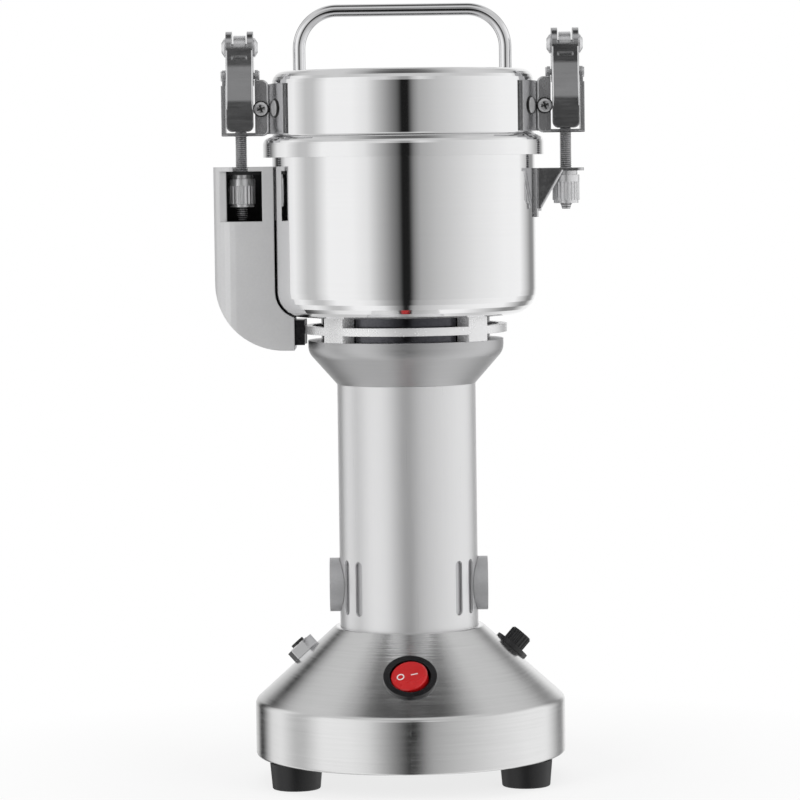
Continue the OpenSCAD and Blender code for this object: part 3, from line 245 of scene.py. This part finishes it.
def shade_inside_walls(look):
    """Painted shade inside the side housing's walls; the rest keeps its finish."""
    # The room is what lies within edge_r of a core from front_y to back_y, whose lower outer
    # corner is an arc of corner_r round the point round_x, round_z
    round_x, round_z, corner_r = -0.0599, 0.2501, 0.0235
    front_y, back_y, edge_r = -0.0040, 0.0130, 0.0089
    top_z, bowl_side_x = 0.30435, -0.0655
    t = look.node_tree
    out = next(n for n in t.nodes if n.type == "OUTPUT_MATERIAL")
    skin = out.inputs["Surface"].links[0].from_socket
    x, y, z = position(t)
    far = length(t, calc(t, "MINIMUM", calc(t, "SUBTRACT", x, round_x), 0.0),
                 calc(t, "MINIMUM", calc(t, "SUBTRACT", z, round_z), 0.0))
    past = calc(t, "MAXIMUM", calc(t, "SUBTRACT", front_y, y), calc(t, "SUBTRACT", y, back_y))
    reach = length(t, calc(t, "MAXIMUM", calc(t, "SUBTRACT", far, corner_r), 0.0),
                   calc(t, "MAXIMUM", past, 0.0))
    inside = calc(t, "LESS_THAN", reach, edge_r)
    for axis, limit in ((z, top_z), (x, bowl_side_x)):
        inside = calc(t, "MULTIPLY", inside, calc(t, "LESS_THAN", axis, limit))
    # Near black: the painted shade inside the walls
    dark = add(t, "ShaderNodeBsdfPrincipled", in_Base_Color=(0.012, 0.012, 0.013, 1),
               in_Roughness=0.5)
    t.links.new(either(t, inside, skin, dark.outputs[0]), out.inputs["Surface"])
    return look


steel, polished = (0.56, 0.56, 0.57), (0.88, 0.88, 0.885)
zinc, dull = (0.80, 0.80, 0.81), (0.66, 0.66, 0.67)

# By the node that wears it, or by what it is where it is meant for more nodes
looks = {
    "base_shell": metal("base_steel", (0.80, 0.80, 0.80), 0.17, spread=0.07, grain="turned",
                        bump=0.5),
    "base_plate": metal("plate", (0.45, 0.45, 0.45), 0.4, spread=0.1),
    "feet": plastic("foot_rubber", (0.008, 0.008, 0.009), 0.42, bump=0.3, edge=0.0006),
    "cord_gland": plastic("gland", (0.012, 0.012, 0.013), 0.35, edge=0.0005),
    "switch_housing": plastic("bezel", (0.006, 0.006, 0.007), 0.22, coat=0.4, bump=0.05,
                              edge=0.0005),
    "switch_rocker": plastic("rocker_red", (0.55, 0.006, 0.008), 0.25, coat=0.4, bump=0.05,
                             tone=0.08, edge=0.0006),
    "breaker_body": metal("bush", (0.82, 0.82, 0.82), 0.14, spread=0.04, grain=3 * (3000.0,)),
    "breaker_nut": metal("chromed_nut", (0.86, 0.86, 0.87), 0.08, spread=0.03, edge=0.0005),
    "reset_button": plastic("button", (0.02, 0.02, 0.02), 0.35, edge=0.0005),
    "fuse_holder": plastic("fuse_black", (0.012, 0.012, 0.013), 0.3, coat=0.2, edge=0.0005),
    "fuse_cap": plastic("fuse_cap_black", (0.014, 0.014, 0.015), 0.35, coat=0.1, edge=0.0004),
    "fuse_link": clear_glass("fuse_glass"),
    "column": metal("column_satin", (0.80, 0.80, 0.805), 0.3, spread=0.04, grain="upright",
                    bump=0.25, tone=0.03, edge=0.0004, bare=0.72),
    "brush_caps": metal("cap_grey", (0.50, 0.50, 0.51), 0.4, bump=0.2, edge=0.0008, bare=0.4),
    "motor_cone": metal("cone_grey", (0.56, 0.56, 0.565), 0.38, grain="turned", bump=0.4,
                        tone=0.04, edge=0.0006),
    "bearing_housing": metal("drum_dark", (0.10, 0.10, 0.11), 0.18),
    "spacer_ring": metal("spacer", polished, 0.26, spread=0.04, tone=0.02, edge=0.0005,
                         bare=0.5),
    "bowl": metal("bowl_steel", polished, 0.07, spread=0.012, grain="turned", tone=0.015),
    "lid": metal("lid_steel", polished, 0.06, spread=0.012, grain="turned", tone=0.015),
    "lid_handle": metal("handle_chrome", (0.88, 0.88, 0.89), 0.08, spread=0.02),
    "lid_brackets": metal("bracket_steel", dull, 0.2, edge=0.0005),
    "latch_frames": metal("frame_steel", steel, 0.26, spread=0.06, grain=(500.0, 500.0, 60.0),
                          bump=0.2, edge=0.0007, bare=0.8),
    "left_lever": metal("lever_steel", steel, 0.2, grain=(60.0, 600.0, 600.0), bump=0.12,
                        edge=0.0008),
    "catches": shade_inside_walls(metal("catch_steel", (0.60, 0.60, 0.61), 0.22, edge=0.0006)),
    "side_housing": shade_inside_walls(metal("housing_satin", (0.70, 0.70, 0.705), 0.36, spread=0.04,
                                bump=0.35, tone=0.04, edge=0.0009, bare=0.3)),
    "housing_mount": metal("mount_dark", (0.09, 0.09, 0.095), 0.3, edge=0.0008),
    "left_rod": metal("left_rod_zinc", dull, 0.25, spread=0.06, bare=0.7, groove=0.2820),
    "right_rod": metal("right_rod_zinc", dull, 0.25, spread=0.06, bare=0.7, groove=0.2858),
    "left_nut": metal("nut_zinc", zinc, 0.22, spread=0.06, edge=0.0003, bare=0.6),
    "fastener": metal("fastener", zinc, 0.2, spread=0.06, edge=0.0004, bare=0.5),
    "cast": metal("cast", (0.62, 0.62, 0.63), 0.42, spread=0.08),
    "brass": metal("brass", (0.80, 0.60, 0.28), 0.3, spread=0.08),
    "carbon": plastic("carbon", (0.03, 0.03, 0.03), 0.6),
    "core": metal("core", (0.46, 0.46, 0.47), 0.4, spread=0.08, grain=(200.0, 200.0, 3000.0),
                  bump=0.4, bare=0.6),
    "winding": metal("winding", (0.70, 0.32, 0.13), 0.28, spread=0.08,
                     grain=(400.0, 400.0, 1500.0), bump=0.8),
    "copper": metal("copper", (0.85, 0.48, 0.28), 0.25, spread=0.06),
    "fan": plastic("fan_black", (0.02, 0.02, 0.02), 0.5),
    "seal": plastic("seal_black", (0.015, 0.015, 0.015), 0.5),
    "gasket": plastic("gasket_pale", (0.78, 0.78, 0.76), 0.45),
    "blade": metal("blade_steel", (0.72, 0.73, 0.75), 0.22, spread=0.06,
                   grain=(60.0, 700.0, 60.0), bump=0.3),
}
shared = {
    "left_lever": ["right_lever"],
    "left_nut": ["right_nut"],
    "fastener": ["foot_screws", "bearings", "brush_springs", "motor_shaft", "bowl_screws",
                 "blade_spacer", "blade_nut", "handle_screws", "latch_rivets", "frame_screws",
                 "pivot_rivets", "left_knuckle_pin", "right_knuckle_pin", "housing_screw"],
    "cast": ["neck_ring", "lower_bracket"],
    "brass": ["brush_holders"],
    "carbon": ["brushes"],
    "core": ["stator_core", "armature_core"],
    "winding": ["field_coils", "armature_windings"],
    "copper": ["commutator"],
    "fan": ["cooling_fan", "interlock_switch"],
    "seal": ["bowl_seal"],
    "gasket": ["lid_gasket"],
    "blade": ["lower_blade", "upper_blade"],
}
look_of = {name: look for look, names in shared.items() for name in names}
for name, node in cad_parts.items():
    for slot in node.material_slots:
        slot.material = looks[look_of.get(name, name)]


# Pieces that the solids leave out
def bead(name, points, radius, body, look, closed=False):
    """A thin round bead along a path: a rolled edge with a painted highlight, painted shade in
    a gap, or a mark.
    """
    data = bpy.data.curves.new(name, "CURVE")
    data.dimensions = "3D"
    data.bevel_depth = radius
    data.bevel_resolution = 3
    data.use_fill_caps = True
    line = data.splines.new("POLY")
    line.points.add(len(points) - 1)
    for p, v in zip(line.points, points):
        p.co = (*v, 1.0)
    line.use_cyclic_u = closed
    o = bpy.data.objects.new(name, data)
    scene.collection.objects.link(o)
    data.materials.append(look)
    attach(o, body)


def rounded_path(points, radius, steps=6):
    """A path whose inner corners are rounded by arcs of the given radius."""
    points = [Vector(p) for p in points]
    path = [points[0]]
    for before, corner, after in zip(points, points[1:], points[2:]):
        u, v = (before - corner).normalized(), (after - corner).normalized()
        half = u.angle(v) / 2
        centre = corner + (u + v).normalized() * radius / math.sin(half)
        back = radius / math.tan(half)
        start, end = corner + u * back - centre, corner + v * back - centre
        turn = start.angle(end)
        for i in range(steps + 1):
            share = i / steps
            arm = start * math.sin((1 - share) * turn) + end * math.sin(share * turn)
            path.append(centre + arm / math.sin(turn))
    return path + [points[-1]]


def ring(centre, u, v, radius, count=32):
    """Points of a circle in the plane of two unit vectors."""
    angles = (math.tau * i / count for i in range(count))
    return [centre + radius * (u * math.cos(a) + v * math.sin(a)) for a in angles]


# Bright, glossy steel for beads on edges: a painted highlight
edge_highlight_look = metal("painted_edge_highlight", (0.90, 0.90, 0.91), 0.1, spread=0.03)
# Near black for gaps and recesses: painted shade
gap_shade_look = plastic("painted_gap_shade", (0.006, 0.006, 0.006), 0.5)
mark_look = plastic("mark_white", (0.85, 0.83, 0.82), 0.4)
x_dir, z_dir = Vector((1, 0, 0)), Vector((0, 0, 1))

# A painted highlight along the lever's rolled edge
# The lever's rolled edge, from its pivot: down one side, round the tip and up the other
half_w, upper_y, lower_y = 0.0063, -0.0089, -0.0117
tip_top_z, tip_z = -0.0243, -0.0272
down = rounded_path([(half_w, upper_y, 0.0125), (half_w, upper_y, 0.0046),
                     (half_w, lower_y, -0.0124), (half_w, lower_y, -0.0245)], 0.014)
tip = rounded_path([(half_w, lower_y, tip_top_z), (half_w, lower_y, tip_z),
                    (-half_w, lower_y, tip_z), (-half_w, lower_y, tip_top_z)], 0.0025)
up = [Vector((-v.x, v.y, v.z)) for v in reversed(down)]

latch_x, pivot_z, screw_z = 0.0805, 0.3515, 0.3351
fold_y, fold_low_z, fold_high_z = -0.0062, 0.3221, 0.3490
lid_side_x, cheek_x, lever_side_x = 0.0669, 0.0722, 0.0895
bracket_r, rivet_angle, rivet_gap_r = 0.0665, math.radians(19.5), 0.0041
screw_x, screw_y, screw_depth, screw_gap_r = 0.0702, -0.0084, 0.0012, 0.0036
cross_r, cross_angle = 0.0019, 0.4
for side, s in (("left", -1), ("right", 1)):
    pivot = Vector((s * latch_x, 0, pivot_z))
    bead(side + "_lever_edge", [pivot + v for v in down + tip + up], 0.00045,
         side + "_latch", edge_highlight_look)

    # A painted highlight along the latch frame's fold
    # Folded edge of the latch frame, from the lever round the lid's side to the lever again
    fold = [(s * cheek_x, fold_y, fold_high_z), (s * lid_side_x, fold_y, fold_high_z),
            (s * lid_side_x, fold_y, fold_low_z), (s * lever_side_x, fold_y, fold_low_z)]
    bead(side + "_frame_fold", rounded_path(fold, 0.0026), 0.0005, "mill", edge_highlight_look)

    # Painted shade in the gap round each rivet of the bracket
    for k, angle in enumerate((-rivet_angle, rivet_angle)):
        outwards = Vector((s * math.cos(angle), math.sin(angle), 0))
        sideways = Vector((-s * math.sin(angle), math.cos(angle), 0))
        rivet = outwards * bracket_r + z_dir * screw_z
        bead(f"{side}_rivet_gap_{k}", ring(rivet, sideways, z_dir, rivet_gap_r), 0.0006,
             "mill", gap_shade_look, True)

    # Painted shade in the gap round the frame screw's head, and in its cross recess
    screw = Vector((s * screw_x, screw_y, screw_z))
    foot = screw + Vector((0, screw_depth, 0))
    bead(side + "_screw_gap", ring(foot, x_dir, z_dir, screw_gap_r), 0.0004, "mill",
         gap_shade_look, True)
    for k, angle in enumerate((cross_angle, cross_angle + math.pi / 2)):
        arm = cross_r * (x_dir * math.cos(angle) + z_dir * math.sin(angle))
        bead(f"{side}_screw_cross_{k}", [screw - arm, screw + arm], 0.00035, "mill",
             gap_shade_look)

# Painted highlight on the rolled edge of the right catch's gusset
gusset_y = -0.01235
bead("gusset_edge", [(0.06775, gusset_y, 0.2848), (0.0783, gusset_y, 0.3032)], 0.0005, "mill",
     edge_highlight_look)

# The switch sits this far up the base's cone, a little into its face, and its rocker is
# tipped to one side
cone_low_z, cone_high, cone_low_r, cone_top_r = 0.0403, 0.0367, 0.0774, 0.0369
up_cone, sunk, tip_angle = 0.0177, 0.002, math.radians(10)
out_dir, up_dir = Vector((0, -0.67151, 0.74099)), Vector((0, 0.74099, 0.67151))
cone_r = cone_top_r + (cone_high - up_cone) * (cone_low_r - cone_top_r) / cone_high
hub = Vector((0, -cone_r, cone_low_z + up_cone)) - out_dir * sunk
tipped = Matrix.Rotation(tip_angle, 3, -up_dir)
face = hub + tipped @ out_dir * 0.0038

# Its marks stand a little askew: a ring on its left and a dash on its right
askew = math.radians(6)
across = tipped @ x_dir * math.cos(askew) + up_dir * math.sin(askew)
along = up_dir * math.cos(askew) - tipped @ x_dir * math.sin(askew)
bead("mark_off", ring(face - 0.0041 * across, across, along, 0.0016, 40), 0.0003, "rocker",
     mark_look, True)
bead("mark_on", [face + 0.0011 * across, face + 0.0045 * across], 0.0003, "rocker",
     mark_look)


# The studio
def floor_look():
    """Pale, with soft shadows near the object, and plain white to the camera further out."""
    look, t = new_tree("floor")
    out = add(t, "ShaderNodeOutputMaterial")
    soft = add(t, "ShaderNodeBsdfDiffuse")
    grain = add(t, "ShaderNodeTexNoise", in_Scale=30.0)
    t.links.new(varied(t, grain.outputs["Fac"], 0.86, 0.88), soft.inputs["Color"])
    plain = add(t, "ShaderNodeEmission", in_Strength=1.0)
    co = add(t, "ShaderNodeTexCoord")
    far = add(t, "ShaderNodeVectorMath", operation="LENGTH")
    t.links.new(co.outputs["Object"], far.inputs[0])
    fade = ramp(t, far.outputs["Value"], [(0.12, 0.78), (0.3, 1.0)])
    path = add(t, "ShaderNodeLightPath")
    shown = calc(t, "MULTIPLY", path.outputs["Is Camera Ray"], fade)
    t.links.new(either(t, shown, soft.outputs[0], plain.outputs[0]), out.inputs["Surface"])
    return look


floor_mesh = bpy.data.meshes.new("floor")
bm = bmesh.new()
bmesh.ops.create_grid(bm, x_segments=1, y_segments=1, size=30.0)
bm.to_mesh(floor_mesh)
bm.free()
floor = bpy.data.objects.new("floor", floor_mesh)
scene.collection.objects.link(floor)
floor.data.materials.append(floor_look())
floor.visible_glossy = False


def heading(degrees):
    """Where a heading lies on a ramp of the whole turn. 0 is in front, 90 on the right."""
    return 0.5 + degrees / 360.0


def mirrored_room(tree):
    """What metal mirrors: a ring of light and dark round the horizon, and the ceiling."""
    x, y, z = position(tree, "Generated")
    turn = add(tree, "ShaderNodeMapRange", in_From_Min=-math.pi, in_From_Max=math.pi)
    tree.links.new(calc(tree, "ARCTAN2", x, calc(tree, "MULTIPLY", y, -1.0)),
                   turn.inputs["Value"])
    # Pale at the sides, with the dark of the room in front
    horizon = ramp(tree, turn.outputs["Result"], [(heading(d), v) for d, v in (
        (-180, 1.0), (-158, 0.6), (-148, 0.02), (-141, 0.10), (-126, 0.85), (-112, 0.95),
        (-95, 0.58), (-86, 0.58), (-70, 0.98), (-46, 0.97), (-32, 0.84), (-22, 0.54),
        (-11, 0.26), (-5, 0.13), (-1.5, 0.012), (4.5, 0.012), (9, 0.26), (14, 0.42),
        (28, 0.56), (44, 0.68), (66, 0.84), (96, 0.97), (121, 0.99), (132, 0.66),
        (144, 0.28), (152, 0.3), (163, 0.9), (180, 1.0))])
    # A pale panel in front, a little above the horizon, lights the levers' slanted middle
    panel = ramp(tree, z, [(0.12, 0.0), (0.24, 0.34), (0.36, 0.34), (0.46, 0.0)])
    ahead = ramp(tree, turn.outputs["Result"], [(heading(-30), 0.0), (heading(-16), 1.0),
                                                (heading(16), 1.0), (heading(30), 0.0)])
    around = blend(tree, "ADD", ahead, horizon, panel)
    # Higher up it is pale all round, and dark straight above
    ceiling = ramp(tree, z, [(0.0, 0.7), (0.60, 0.60), (0.75, 0.66), (0.86, 0.66),
                             (0.92, 0.46), (0.955, 0.18), (0.975, 0.085), (1.0, 0.06)])
    rise = ramp(tree, z, [(0.42, 0.0), (0.66, 1.0)])
    return blend(tree, "MIX", rise, around, ceiling)


# The world is plain white behind the object, and a soft light to all that isn't a mirror
world = bpy.data.worlds.new("studio")
scene.world = world
world.use_nodes = True
t = world.node_tree
t.nodes.clear()
out = add(t, "ShaderNodeOutputWorld")
soft = add(t, "ShaderNodeBackground", in_Strength=0.55)
room = add(t, "ShaderNodeBackground", in_Strength=1.0)
t.links.new(mirrored_room(t), room.inputs["Color"])
white = add(t, "ShaderNodeBackground", in_Strength=1.0, in_Color=(1.0, 1.0, 1.0, 1.0))
path = add(t, "ShaderNodeLightPath")
light = either(t, path.outputs["Is Glossy Ray"], soft.outputs[0], room.outputs[0])
seen = either(t, path.outputs["Is Camera Ray"], light, white.outputs[0])
t.links.new(seen, out.inputs["Surface"])


def lamp(name, place, width, power):
    """A square lamp that points at the mill's middle and isn't mirrored."""
    data = bpy.data.lights.new(name, "AREA")
    data.shape = "RECTANGLE"
    data.size = data.size_y = width
    data.energy = power
    o = bpy.data.objects.new(name, data)
    scene.collection.objects.link(o)
    o.location = place
    aim = Vector((0.0, 0.0, 0.2)) - Vector(place)
    o.rotation_euler = aim.to_track_quat("-Z", "Y").to_euler()
    o.visible_glossy = False


lamp("key", (-1.3, -1.5, 1.3), 1.0, 14.0)
lamp("fill", (1.4, -1.3, 1.0), 1.0, 10.0)
lamp("top", (0.0, 0.3, 1.8), 1.4, 10.0)
